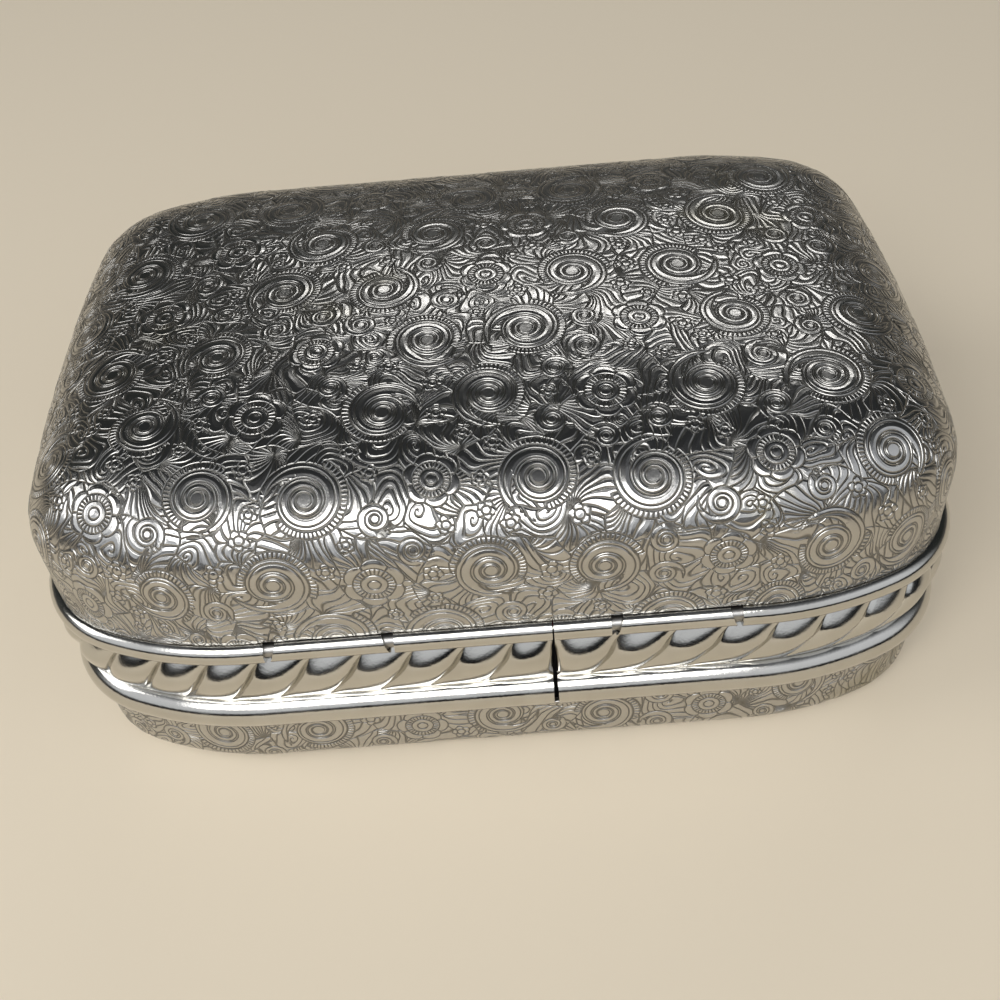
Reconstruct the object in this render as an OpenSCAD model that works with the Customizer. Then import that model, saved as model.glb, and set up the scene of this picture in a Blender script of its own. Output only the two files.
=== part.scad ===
// Rosary box: a small hinged keepsake box of embossed, silver plated brass sheet.
// X runs along the box, Z is up and the thumb lift faces -Y. The origin is the middle
// of the underside. The outline is the plan of the outermost bulge of the band of
// beads and rope, and an inset is a distance inwards from that outline.

/* [Plan of the box] */
// Length over the band
box_len = 84; // [80:1:92]
// Depth over the band
box_dep = 57; // [53:1:62]
// Radius of the four corners
corner_r = 11.2; // [10.8:0.1:12]
// Half length of the straight stretch that holds the hinge or the catch
straight_half = 22; // [21.8:0.1:23]
// How far each half of a long side turns beyond its straight stretch, in degrees
long_turn = 24; // [22:0.5:26]
// How far each half of a short side turns, in degrees
short_turn = 4.5; // [4:0.25:5]

/* [Pressed shells] */
// Thickness of the embossed sheet
sheet_t = 0.5; // [0.4:0.05:0.6]
// Height of the base shell, up to the lower bead
base_shell_h = 6.65; // [6:0.05:8]
// How far the rounding at the foot of the base reaches inwards
base_round = 2.4; // [2:0.1:3]
// Height of the rounding at the foot of the base
base_round_h = 2.2; // [1.6:0.1:3]
// Inset of the base shell under the lower bead
base_wall_inset = 1.15; // [1:0.05:1.2]
// Inset of the lid wall above the upper bead
lid_wall_inset = 0.9; // [0.8:0.05:1]
// Height of the upright lid wall
lid_wall_h = 6.5; // [5.5:0.1:8]
// How far the lid's shoulder reaches inwards
shoulder_reach = 11.2; // [9.5:0.1:11.4]
// Height of the lid's shoulder
shoulder_h = 8.1; // [7:0.1:9.5]
// Rise of the lid's crown above the shoulder
crown_h = 1.75; // [1:0.05:2.5]

/* [Band of beads and rope] */
// Radius of the lower bead
low_bead_r = 1.8; // [1.5:0.05:2]
// Height of the rope between the two beads
rope_h = 6.06; // [5:0.02:7]
// How far the rope stands out from its backing strip
rope_bulge = 1.3; // [1:0.05:1.5]
// Number of strands round the box
strand_count = 56; // [44:1:64]
// Depth of the grooves between strands, as a share of the bulge
groove_share = 0.75; // [0.4:0.05:0.85]
// Lean of a strand from the bottom to the top of the rope, along the band
strand_lean = 5.2; // [3:0.1:6]
// Radius of the upper bead, a rolled tube that is the lid's edge and hinge barrel
top_bead_r = 1.13; // [1.05:0.01:1.2]
// Thickness of the rim strips
strip_t = 0.4; // [0.35:0.01:0.42]
// Height of the lid strip's flange above the upper bead
lid_flange_h = 3.6; // [2.5:0.1:4]
// Gap between the lid's bead and the rope when the box is shut
shut_gap = 0.1; // [0.05:0.01:0.2]
// Distance of the strips' butt joint from the middle of the back
seam_off = 4.3; // [3.5:0.1:6]
// Width of the butt joint at the foot of the band
seam_gap = 0.5; // [0.2:0.05:0.6]
// Width of the butt joint at the top of the band
seam_head = 0.12; // [0.1:0.02:0.2]

/* [Hinge] */
// Distance from the middle of the back to the near end of a hinge window
window_from = 9.3; // [8.5:0.1:9.5]
// Length of a hinge window in the upper bead
window_len = 11.2; // [9.5:0.1:11.3]
// End clearance of a tongue in its window
tongue_end_gap = 0.4; // [0.3:0.05:0.8]
// How much shorter each end of a tongue is at its curled edge
tongue_taper = 1; // [0:0.1:1.5]
// Radius of a hinge pin
pin_r = 0.65; // [0.55:0.01:0.68]
// Running clearance between pin and tongue
pin_fit = 0.05; // [0.03:0.01:0.08]
// How far a pin reaches into the bead beyond its window
pin_grip = 1.4; // [0.5:0.1:1.4]
// Angle at which the window's edge would meet the tongue, in degrees
stop_angle = 101; // [95:1:105]
// Height of the tongue's leaf inside the base strip
leaf_h = 5; // [3:0.1:6]

/* [Front fittings] */
// How far the thumb lift stands out from the band
thumb_out = 2.6; // [1.5:0.1:4]
// Radius of the thumb lift's rounded edge
thumb_r = 6.2; // [5:0.1:9]
// Thickness of the thumb lift
thumb_t = 0.7; // [0.5:0.05:1]
// Width of the catch spring
spring_w = 9; // [6:0.5:11]
// Thickness of the catch spring
spring_t = 0.35; // [0.25:0.01:0.4]
// Height of the catch spring's top above the lid bead's centre
spring_rise = 2.5; // [2:0.1:3]
// Clearance between the catch nose and the lid's bead
nose_gap = 0.14; // [0.1:0.01:0.3]
// Radius of a catch rivet's shank
rivet_r = 0.5; // [0.4:0.05:0.6]
// Distance between the two catch rivets
rivet_pitch = 5.6; // [4:0.2:6]

/* [Linings] */
// Thickness of the velvet lining on the base's side
base_lining_t = 0.9; // [0.6:0.1:1.2]
// Thickness of the velvet lining on the lid's side
lid_lining_t = 0.7; // [0.5:0.1:0.9]
// Height of the lid's side lining
lid_lining_h = 7.1; // [5:0.1:7.5]
// Thickness of the cards under the pads
card_t = 0.7; // [0.5:0.1:0.9]
// Thickness of a pad at its edge
pad_edge_t = 2; // [1.5:0.1:2.5]
// How much higher a pad is in its middle
pad_crown = 1; // [0.5:0.1:1.5]
// Clearance round each lining piece
lining_gap = 0.2; // [0.1:0.05:0.3]

/* [Hidden] */

// Gap left between pieces that are soldered, glued or curled together
skin_gap = 0.05;

// Heights of the band, from the base shell upwards
low_bead_z = base_shell_h + skin_gap + low_bead_r;
rope_z0 = low_bead_z + low_bead_r + 0.02;
rope_z1 = rope_z0 + rope_h;
hinge_z = rope_z1 + shut_gap + top_bead_r;
lid_wall_z = hinge_z + top_bead_r + shut_gap;
shoulder_z = lid_wall_z + lid_wall_h;
// The shoulder stops short of level, where the crown takes over its slope
shoulder_end = 80;

// Insets of the band's layers
wall_t = strip_t + 0.1;
rope_back = low_bead_r - 3 * skin_gap;
wall_in = low_bead_r + wall_t;
bead_in = 2 * top_bead_r;
hinge_y = box_dep / 2 - top_bead_r;
bore_r = pin_r + pin_fit;

// The long and short sides' arcs, which close the plan on its corners
side_a = box_len / 2 - corner_r - straight_half;
side_b = box_dep / 2 - corner_r;
side_det = sin(long_turn) * sin(short_turn) - (1 - cos(short_turn)) * (1 - cos(long_turn));
long_r = corner_r + (side_a * sin(short_turn) - side_b * (1 - cos(short_turn))) / side_det;
short_r = corner_r + (side_b * sin(long_turn) - side_a * (1 - cos(long_turn))) / side_det;
corner_turn = 90 - long_turn - short_turn;

// A stretch of the plan is its radius, its turn and its length; radius 0 is straight
function arc_stretch(r, turn) = [r, turn, r * turn * PI / 180];
function line_stretch(length) = [0, 0, length];
LONG_SIDE = [arc_stretch(long_r, long_turn)];
END_SIDE = [arc_stretch(corner_r, corner_turn), arc_stretch(short_r, 2 * short_turn),
            arc_stretch(corner_r, corner_turn)];
// Clockwise from above, starting in the middle of the back
PLAN = concat([line_stretch(straight_half)], LONG_SIDE, END_SIDE, LONG_SIDE,
              [line_stretch(2 * straight_half)], LONG_SIDE, END_SIDE, LONG_SIDE,
              [line_stretch(straight_half)]);

// Where a stretch starts: x, y, heading of the outward normal from +Y, distance run
function run_on(from, g) = g[0] == 0
    ? [from[0] + g[2] * cos(from[2]), from[1] - g[2] * sin(from[2]), from[2], from[3] + g[2]]
    : [from[0] + g[0] * (sin(from[2] + g[1]) - sin(from[2])),
       from[1] + g[0] * (cos(from[2] + g[1]) - cos(from[2])),
       from[2] + g[1], from[3] + g[2]];
function start_of(i) = i == 0 ? [0, box_dep / 2, 0, 0] : run_on(start_of(i - 1), PLAN[i - 1]);
STARTS = [for (i = [0 : len(PLAN)]) start_of(i)];
plan_run = STARTS[len(PLAN)][3];

// The plan point at a distance run clockwise from the middle of the back
function plan_at(run, inset) =
    let (d = run < 0 ? run + plan_run : run >= plan_run ? run - plan_run : run,
         i = len([for (k = [0 : len(PLAN) - 1]) if (STARTS[k][3] <= d) k]) - 1,
         from = STARTS[i],
         g = PLAN[i],
         e = d - from[3],
         turned = g[0] == 0 ? 0 : e / g[0] * 180 / PI,
         a = from[2] + turned,
         p = g[0] == 0
             ? [from[0] + e * cos(a), from[1] - e * sin(a)]
             : [from[0] + g[0] * (sin(a) - sin(from[2])), from[1] + g[0] * (cos(a) - cos(from[2]))])
    [p[0] - inset * sin(a), p[1] - inset * cos(a)];

// Distances at which a faceted form has a column of points, close enough for each arc
column_turn = 10;
column_pitch = 12;
COLUMNS = [for (k = [0 : len(PLAN) - 1])
    let (n = PLAN[k][1] == 0 ? 1 : max(ceil(PLAN[k][1] / column_turn), ceil(PLAN[k][2] / column_pitch)))
    for (j = [0 : n - 1]) STARTS[k][3] + PLAN[k][2] * j / n];
function plan_ring(inset, z, share = 1) =
    [for (run = COLUMNS) let (p = plan_at(run, inset)) [share * p[0], share * p[1], z]];

// Faces of a swept strip: columns of n points each, the outer side running upwards
function strip_faces(cols, n, closed) = concat(
    [for (c = [0 : cols - (closed ? 1 : 2)]) for (r = [0 : n - 1])
        let (d = (c + 1) % cols) [c * n + r, d * n + r, d * n + (r + 1) % n]],
    [for (c = [0 : cols - (closed ? 1 : 2)]) for (r = [0 : n - 1])
        let (d = (c + 1) % cols) [c * n + r, d * n + (r + 1) % n, c * n + (r + 1) % n]],
    closed ? [] : [[for (r = [0 : n - 1]) r], [for (r = [n - 1 : -1 : 0]) (cols - 1) * n + r]]);

// Sweeps a profile of [outwards, up] points once round the plan
module sweep(profile) {
    polyhedron(
        [for (run = COLUMNS) for (p = profile) let (q = plan_at(run, -p[0])) [q[0], q[1], p[1]]],
        strip_faces(len(COLUMNS), len(profile), true), 4);
}

// The same for a metal strip, whose ends meet in a butt joint that widens downwards
function seam_half(z) =
    (seam_gap + (seam_head - seam_gap) * (z - base_shell_h) / (lid_wall_z - base_shell_h)) / 2;
module sweep_strip(profile) {
    last = len(COLUMNS);
    polyhedron(
        [for (c = [0 : last]) for (p = profile)
            let (run = c == 0 ? seam_half(p[1]) - seam_off
                     : c == last ? plan_run - seam_off - seam_half(p[1])
                     : COLUMNS[c],
                 q = plan_at(run, -p[0]))
            [q[0], q[1], p[1]]],
        strip_faces(last + 1, len(profile), false), 4);
}

// Points along an arc, with angles from the inward side over the top
function arc_points(inset, z, r, from, to, steps) =
    [for (k = [0 : steps]) let (a = from + (to - from) * k / steps)
        [-inset - r * cos(a), z + r * sin(a)]];

// A closed skin over rings of equal counts, from the first centre to the last
module skin(rings, first, last) {
    n = len(rings[0]);
    m = len(rings);
    pts = concat([first, last], [for (r = rings) for (p = r) p]);
    polyhedron(pts, concat(
        [for (j = [0 : n - 1]) [0, 2 + j, 2 + (j + 1) % n]],
        [for (k = [0 : m - 2]) for (j = [0 : n - 1])
            [2 + k * n + j, 2 + (k + 1) * n + j, 2 + (k + 1) * n + (j + 1) % n]],
        [for (k = [0 : m - 2]) for (j = [0 : n - 1])
            [2 + k * n + j, 2 + (k + 1) * n + (j + 1) % n, 2 + k * n + (j + 1) % n]],
        [for (j = [0 : n - 1]) [1, 2 + (m - 1) * n + (j + 1) % n, 2 + (m - 1) * n + j]]));
}

// A plate with the outline of the plan
module plan_plate(inset, z, t) {
    translate([0, 0, z]) linear_extrude(t) polygon([for (run = COLUMNS) plan_at(run, inset)]);
}

// A profile in the YZ plane, extruded along X about the point (x, y, z)
module along_x(x, y, z, length) {
    translate([x, y, z]) rotate([90, 0, 90]) linear_extrude(length, center = true) children();
}

// Base shell: the pressed dish, from its flat floor up to the lower bead
base_rows = 5;
function base_curve(k, t) =
    let (a = 90 * k / base_rows)
    [base_wall_inset + base_round - (base_round - t) * cos(a), base_round_h - (base_round_h - t) * sin(a)];
module base_shell() {
    color("silver")
        skin(concat(
                 [for (k = [base_rows : -1 : 0])
                     let (c = base_curve(k, sheet_t)) plan_ring(c[0], c[1])],
                 [plan_ring(base_wall_inset + sheet_t, base_shell_h), plan_ring(base_wall_inset, base_shell_h)],
                 [for (k = [0 : base_rows])
                     let (c = base_curve(k, 0)) plan_ring(c[0], c[1])]),
             [0, 0, sheet_t], [0, 0, 0]);
}

// Base rim: the strip inside the rope, with the lower bead rolled into it
rim_foot_z = base_shell_h - 1.2;
rim_top_z = rope_z1 - skin_gap;
base_rim_profile = concat(
    [[-wall_in, rim_foot_z], [-low_bead_r, rim_foot_z]],
    arc_points(low_bead_r, low_bead_z, low_bead_r, 270, 90, 12),
    [[-low_bead_r, rim_top_z], [-wall_in, rim_top_z]]);
module rivet_holes(r, y0, y1) {
    for (s = [-1, 1])
        translate([s * rivet_pitch / 2, y0, rivet_z])
            rotate([-90, 0, 0]) cylinder(h = y1 - y0, r = r, $fn = 32);
}
rivet_z = rim_top_z - 0.56 * rope_h;
front_y = -box_dep / 2;
module base_rim() {
    color("silver")
        difference() {
            sweep_strip(base_rim_profile);
            rivet_holes(rivet_r + skin_gap, front_y + low_bead_r - 1, front_y + wall_in + 1);
        }
}

// Rope moulding: a pressed strip of slanted strands, open where its ends meet
cols_per_strand = 5;
rope_rows = 8;
// Over this run the strands at the joint stand upright, so that it is cut square
square_run = 6;
rope_cols = cols_per_strand * strand_count;
function strand_form(c) =
    let (f = ((c + 2) % cols_per_strand) / cols_per_strand)
    1 - groove_share * (1 - sqrt(1 - (2 * f - 1) * (2 * f - 1)));
function rope_z(up) = rope_z0 + rope_h / 2 * (1 + sin(up));
function rope_run_at(c, up) =
    let (share = c / rope_cols,
         half = seam_half(rope_z(up)),
         d = (plan_run - 2 * half) * share,
         upright = min(1, min(d, plan_run - 2 * half - d) / square_run))
    half - seam_off + d - strand_lean * upright * up / 180;
function rope_point(c, up, inset) =
    let (p = plan_at(rope_run_at(c, up), inset)) [p[0], p[1], rope_z(up)];
module rope_moulding() {
    color("gainsboro")
        polyhedron(
            [for (c = [0 : rope_cols]) each concat(
                [for (r = [0 : rope_rows]) let (up = -90 + 180 * r / rope_rows)
                    rope_point(c, up, rope_bulge * (1 - cos(up) * cos(up) * strand_form(c)))],
                [for (up = [90, 0, -90]) rope_point(c, up, rope_back)])],
            strip_faces(rope_cols + 1, rope_rows + 4, false), 4);
}

// Hinge tongue: a leaf inside the base strip that curls out and up over its pin
tongue_len = window_len - 2 * tongue_end_gap;
tongue_r = top_bead_r - skin_gap;
tongue_mid = window_from + window_len / 2;
leaf_x1 = top_bead_r - wall_in - 0.02;
leaf_t = strip_t - 0.02;
module tongue_profile() {
    big = 3 * top_bead_r;
    difference() {
        circle(tongue_r, $fn = 64);
        circle(bore_r, $fn = 48);
        polygon([[0, 0], [-big * cos(stop_angle), big * sin(stop_angle)],
                 [-big, big], [-big, -big], [0, -big]]);
    }
    translate([leaf_x1 - leaf_t, -tongue_r]) square([leaf_t - leaf_x1, tongue_r - bore_r]);
    translate([leaf_x1 - leaf_t, -bore_r - leaf_h]) square([leaf_t, leaf_h]);
}
module hinge_tongue(side) {
    low = leaf_h + bore_r + 1;
    translate([side * tongue_mid, hinge_y, hinge_z])
        intersection() {
            along_x(0, 0, 0, tongue_len) tongue_profile();
            rotate([90, 0, 0]) linear_extrude(8 * top_bead_r, center = true)
                polygon([[-tongue_len / 2, -low], [tongue_len / 2, -low],
                         [tongue_len / 2, -bore_r], [tongue_len / 2 - tongue_taper, tongue_r + 1],
                         [-tongue_len / 2 + tongue_taper, tongue_r + 1], [-tongue_len / 2, -bore_r]]);
        }
}
module hinge_tongue_left() { color("lightgrey") hinge_tongue(-1); }
module hinge_tongue_right() { color("lightgrey") hinge_tongue(1); }

// Hinge pin: a wire that bridges its window inside the rolled bead
module hinge_pin(side) {
    pin_len = window_len + 2 * pin_grip;
    translate([side * tongue_mid - pin_len / 2, hinge_y, hinge_z])
        rotate([0, 90, 0]) cylinder(h = pin_len, r = pin_r, $fn = 32);
}
module hinge_pin_left() { color("dimgrey") hinge_pin(-1); }
module hinge_pin_right() { color("dimgrey") hinge_pin(1); }

// Lid rim: the rolled bead with its flange inside the lid wall, and the hinge windows
flange_out = lid_wall_inset + sheet_t + skin_gap;
lid_flange_z = hinge_z + top_bead_r + lid_flange_h;
// Angles of the curl where it leaves the flange's outer and inner faces, and where it ends
curl_from = acos((flange_out - top_bead_r) / top_bead_r);
curl_to = acos((flange_out + strip_t - top_bead_r) / top_bead_r);
curl_end = 385;
curl_in = top_bead_r - strip_t;
lid_rim_profile = concat(
    [[-flange_out, lid_flange_z], [-flange_out - strip_t, lid_flange_z],
     [-flange_out - strip_t, hinge_z + top_bead_r * sin(curl_to)]],
    arc_points(top_bead_r, hinge_z, curl_in / cos(12), curl_to, curl_end, 13),
    arc_points(top_bead_r, hinge_z, top_bead_r, curl_end, curl_from, 17));
// What the window leaves of the bead is the edge that stops the open lid
stop_edge = 25;
module window_cut(side) {
    big = 3 * top_bead_r;
    along_x(side * tongue_mid, hinge_y, hinge_z, window_len)
        difference() {
            circle(top_bead_r + 0.03, $fn = 64);
            polygon([[0, 0], [-big, 0], [-big * cos(stop_edge), -big * sin(stop_edge)]]);
        }
}
module lid_rim() {
    color("silver")
        difference() {
            sweep_strip(lid_rim_profile);
            window_cut(-1);
            window_cut(1);
        }
}

// Lid shell: the pressed dome, with its upright wall, round shoulder and low crown
shoulder_rows = 7;
function shoulder_curve(k, t) =
    let (a = shoulder_end * k / shoulder_rows)
    [lid_wall_inset + shoulder_reach - (shoulder_reach - t) * cos(a),
     shoulder_z + (shoulder_h - t) * sin(a)];
CROWN_SHARES = [0.7, 0.4];
function crown_z(t, share) = shoulder_curve(shoulder_rows, t)[1] + crown_h * (1 - share * share);
function lid_rings(t) = concat(
    [plan_ring(lid_wall_inset + t, lid_wall_z)],
    [for (k = [0 : shoulder_rows]) let (c = shoulder_curve(k, t)) plan_ring(c[0], c[1])],
    [for (s = CROWN_SHARES) plan_ring(shoulder_curve(shoulder_rows, t)[0], crown_z(t, s), s)]);
module lid_shell() {
    outer = lid_rings(0);
    color("silver")
        skin(concat([for (k = [len(outer) - 1 : -1 : 0]) outer[k]], lid_rings(sheet_t)),
             [0, 0, crown_z(0, 0)], [0, 0, crown_z(sheet_t, 0)]);
}

// Thumb lift: a small round-edged tab on the front of the upper bead
module thumb_lift() {
    thumb_y = front_y - thumb_out + thumb_r;
    color("silver")
        difference() {
            translate([0, thumb_y, hinge_z - thumb_t / 2]) {
                cylinder(h = thumb_t, r = thumb_r - thumb_t, $fn = 96);
                translate([0, 0, thumb_t / 2])
                    rotate_extrude($fn = 96)
                    translate([thumb_r - thumb_t, 0]) circle(thumb_t, $fn = 32);
            }
            translate([-2 * thumb_r, front_y + top_bead_r, hinge_z - thumb_r])
                cube([4 * thumb_r, 4 * thumb_r, 2 * thumb_r]);
            along_x(0, front_y + top_bead_r, hinge_z, 4 * thumb_r) circle(top_bead_r + 0.02, $fn = 64);
        }
}

// Catch spring: a strip riveted inside the front, whose nose rides over the lid's bead
nose_r = 0.4;
spring_out = wall_in + skin_gap;
nose_inset = bead_in + nose_gap + nose_r;
nose_z = hinge_z + top_bead_r + nose_r;
spring_foot_z = rivet_z - 5 * rivet_r;
spring_bend_z = rim_top_z - 2 * strip_t;
spring_bend_h = 4 * strip_t;
module catch_spring() {
    color("gold")
        difference() {
            translate([-spring_w / 2, front_y, 0])
                mirror([0, 1, 0]) rotate([90, 0, 90]) linear_extrude(spring_w) {
                    polygon([[-spring_out, spring_foot_z], [-spring_out, spring_bend_z],
                             [-nose_inset, spring_bend_z + spring_bend_h], [-nose_inset, hinge_z + spring_rise],
                             [-nose_inset - spring_t, hinge_z + spring_rise],
                             [-nose_inset - spring_t, spring_bend_z + spring_bend_h - 0.3 * spring_t],
                             [-spring_out - spring_t, spring_bend_z - 0.3 * spring_t],
                             [-spring_out - spring_t, spring_foot_z]]);
                    translate([-nose_inset, nose_z]) circle(nose_r, $fn = 32);
                }
            rivet_holes(rivet_r + skin_gap, front_y, front_y + spring_out + 2);
        }
}

// Catch rivets: two flat-headed rivets through the spring and the base strip
rivet_head_t = 0.18;
module catch_rivets() {
    head_y = front_y + spring_out + spring_t;
    color("gold") {
        rivet_holes(rivet_r, front_y + rope_back + 0.02, head_y);
        rivet_holes(1.8 * rivet_r, head_y, head_y + rivet_head_t);
    }
}

// Base side lining: velvet on a card strip, its top edge turned over
base_lining_out = spring_out + spring_t + rivet_head_t + 0.05;
base_lining_z0 = 0.38 * base_shell_h;
base_lining_z1 = rim_top_z - 0.6;
module base_side_lining() {
    t = base_lining_t;
    color("darkred")
        sweep([[-base_lining_out, base_lining_z0], [-base_lining_out, base_lining_z1 - 0.3 * t],
               [-base_lining_out - 0.3 * t, base_lining_z1],
               [-base_lining_out - 0.7 * t, base_lining_z1],
               [-base_lining_out - t, base_lining_z1 - 0.3 * t],
               [-base_lining_out - t, base_lining_z0]]);
}

// A cushion with crowned top and drawn-in sides; up is 1 or, in the lid, -1
function pad_ring(inset, drop, z, up, share = 1) = plan_ring(inset + drop, z * up, share);
module pad(inset, z, up) {
    e = pad_edge_t;
    rows = [[0.9, 0, 1], [0.15, 0.3, 1], [0, 0.55, 1], [0.5, 0.85, 1], [1.6, 1, 1]];
    crown = [0.75, 0.45];
    rings = concat(
        [for (s = [crown[1], crown[0]])
            plan_ring(inset + 1.6, z + up * (e + pad_crown * (1 - s * s)), s)],
        [for (k = [len(rows) - 1 : -1 : 0])
            plan_ring(inset + rows[k][0], z + up * e * rows[k][1])]);
    top = [0, 0, z + up * (e + pad_crown)];
    foot = [0, 0, z];
    if (up > 0)
        skin(rings, top, foot);
    else
        skin([for (k = [len(rings) - 1 : -1 : 0]) rings[k]], foot, top);
}

// Base floor: a card on the shell's floor and a velvet covered pad on it
floor_card_z = sheet_t + skin_gap;
floor_pad_z = floor_card_z + card_t + skin_gap;
pad_inset = base_lining_out + base_lining_t + lining_gap;
module base_floor_card() {
    color("tan") plan_plate(base_wall_inset + base_round - lining_gap, floor_card_z, card_t);
}
module base_floor_pad() {
    color("firebrick") pad(pad_inset, floor_pad_z, 1);
}

// Lid side lining: velvet over the flange, notched in front to clear the catch spring
lid_lining_out = flange_out + strip_t + lining_gap / 2;
lid_lining_z0 = hinge_z + top_bead_r + lining_gap;
lid_lining_z1 = lid_lining_z0 + lid_lining_h;
module lid_side_lining() {
    notch_w = spring_w + 2;
    color("darkred")
        difference() {
            sweep([[-lid_lining_out, lid_lining_z0], [-lid_lining_out, lid_lining_z1],
                   [-lid_lining_out - lid_lining_t, lid_lining_z1],
                   [-lid_lining_out - lid_lining_t, lid_lining_z0]]);
            translate([-notch_w / 2, front_y, hinge_z])
                cube([notch_w, 4 * wall_in, spring_rise + lining_gap]);
        }
}

// Lid lining: a card across the dome and a velvet covered pad that faces down
lid_pad_z = lid_lining_z1 + lining_gap + pad_edge_t + 0.4;
lid_pad_inset = lid_lining_out + lid_lining_t + lining_gap;
module lid_lining_card() {
    color("tan") plan_plate(lid_pad_inset + 1.2, lid_pad_z + skin_gap, card_t);
}
module lid_lining_pad() {
    color("firebrick") pad(lid_pad_inset, lid_pad_z, -1);
}

base_shell();
base_rim();
rope_moulding();
hinge_tongue_left();
hinge_tongue_right();
catch_spring();
catch_rivets();
base_side_lining();
base_floor_card();
base_floor_pad();
lid_shell();
lid_rim();
hinge_pin_left();
hinge_pin_right();
thumb_lift();
lid_side_lining();
lid_lining_card();
lid_lining_pad();
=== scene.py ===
import math
import random

import bmesh
import bpy
import numpy as np
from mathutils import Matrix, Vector


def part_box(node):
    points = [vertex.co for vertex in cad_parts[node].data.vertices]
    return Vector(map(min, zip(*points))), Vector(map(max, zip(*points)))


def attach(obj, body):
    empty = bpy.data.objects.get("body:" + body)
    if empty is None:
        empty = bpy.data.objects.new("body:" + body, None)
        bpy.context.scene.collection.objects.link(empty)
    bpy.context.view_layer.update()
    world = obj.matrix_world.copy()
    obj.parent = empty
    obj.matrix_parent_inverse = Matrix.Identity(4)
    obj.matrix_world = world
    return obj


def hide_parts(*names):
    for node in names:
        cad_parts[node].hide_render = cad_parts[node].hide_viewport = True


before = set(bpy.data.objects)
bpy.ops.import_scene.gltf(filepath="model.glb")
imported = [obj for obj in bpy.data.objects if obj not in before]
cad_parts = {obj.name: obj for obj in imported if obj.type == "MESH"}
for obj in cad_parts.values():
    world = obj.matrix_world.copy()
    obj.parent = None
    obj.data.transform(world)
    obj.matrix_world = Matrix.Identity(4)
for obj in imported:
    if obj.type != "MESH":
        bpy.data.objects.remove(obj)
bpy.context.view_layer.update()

# Camera. It stands behind the box and looks down on the hinge side, as in the photograph.
# Lengths in this script are in millimetres until MM turns them to metres.
MM = 0.001
camera_data = bpy.data.cameras.new("camera")
camera_data.lens = 44.54
camera_data.sensor_width = 36
camera_data.clip_start = 0.005
camera = bpy.data.objects.new("camera", camera_data)
camera.location = Vector((-1.99, 93.6, 101.35)) * MM
camera.rotation_euler = [math.radians(angle) for angle in (44.27, 3.68, 177.26)]
bpy.context.scene.collection.objects.link(camera)
bpy.context.scene.camera = camera
bpy.context.scene.view_settings.view_transform = "Standard"


def linear(hex_colour):
    """An sRGB hex colour as the linear colour that a shader takes."""
    parts = [int(hex_colour[i:i + 2], 16) / 255 for i in (0, 2, 4)]
    return (*[c / 12.92 if c <= 0.04045 else ((c + 0.055) / 1.055) ** 2.4 for c in parts], 1)


def add_node(tree, kind, inputs=None, **settings):
    """Adds a shader node; an input is a number, a colour, a socket, or a node's first output."""
    made = tree.nodes.new("ShaderNode" + kind)
    for name, value in settings.items():
        setattr(made, name, value)
    for key, value in (inputs or {}).items():
        if isinstance(value, bpy.types.Node):
            value = value.outputs[0]
        if isinstance(value, bpy.types.NodeSocket):
            tree.links.new(value, made.inputs[key])
        else:
            made.inputs[key].default_value = value
    return made


def new_material(name):
    """A material with an empty node tree, and that tree."""
    material = bpy.data.materials.new(name)
    material.use_nodes = True
    material.node_tree.nodes.clear()
    return material, material.node_tree


def coat(material, *nodes):
    """Gives CAD nodes that are shown as they are one material."""
    for node in nodes:
        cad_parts[node].data.materials.clear()
        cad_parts[node].data.materials.append(material)


# Studio: a plain pale floor with a warm tint, a large soft light over the camera, a smaller
# one to its left and a low one behind, in a room with windows on the camera's side.
FLOOR_COLOUR = "e6d8c0"
floor_mesh = bpy.data.meshes.new("floor")
floor_bm = bmesh.new()
bmesh.ops.create_grid(floor_bm, x_segments=4, y_segments=4, size=3)
bmesh.ops.translate(floor_bm, verts=floor_bm.verts, vec=(0, 0, -0.05 * MM))
floor_bm.to_mesh(floor_mesh)
floor_bm.free()
floor = bpy.data.objects.new("floor", floor_mesh)
bpy.context.scene.collection.objects.link(floor)
floor_paint, tree = new_material("matt_painted_board")
board = add_node(tree, "BsdfPrincipled", {"Base Color": linear(FLOOR_COLOUR), "Roughness": 0.75})
add_node(tree, "OutputMaterial", {"Surface": board})
floor_mesh.materials.append(floor_paint)

for name, place, size, power in (
        ("softbox_over_camera", (0.10, 0.36, 0.42), (0.42, 0.26), 1.9),
        ("softbox_left", (0.50, 0.05, 0.40), (0.25, 0.25), 0.7),
        ("strip_behind", (-0.10, -0.50, 0.46), (0.50, 0.05), 0.5),
):
    lamp_data = bpy.data.lights.new(name, "AREA")
    lamp_data.shape = "RECTANGLE"
    lamp_data.size, lamp_data.size_y = size
    lamp_data.energy = power
    lamp = bpy.data.objects.new(name, lamp_data)
    lamp.location = place
    lamp.rotation_euler = (-Vector(place)).to_track_quat("-Z", "Y").to_euler()
    bpy.context.scene.collection.objects.link(lamp)

world = bpy.data.worlds.new("studio_room")
world.use_nodes = True
tree = world.node_tree
tree.nodes.clear()
direction = add_node(tree, "TexCoord").outputs["Generated"]
height = add_node(tree, "SeparateXYZ", {0: direction}).outputs["Z"]


def room_side(*stops):
    """The room's brightness from its floor to its ceiling, on one side."""
    ramp = add_node(tree, "ValToRGB", {"Fac": height})
    for number, (place, colour) in enumerate(stops):
        last = number == len(stops) - 1
        stop = ramp.color_ramp.elements[-1 if last else 0] if last or number == 0 else \
            ramp.color_ramp.elements.new(place)
        stop.color = linear(colour)
    return ramp


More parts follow.
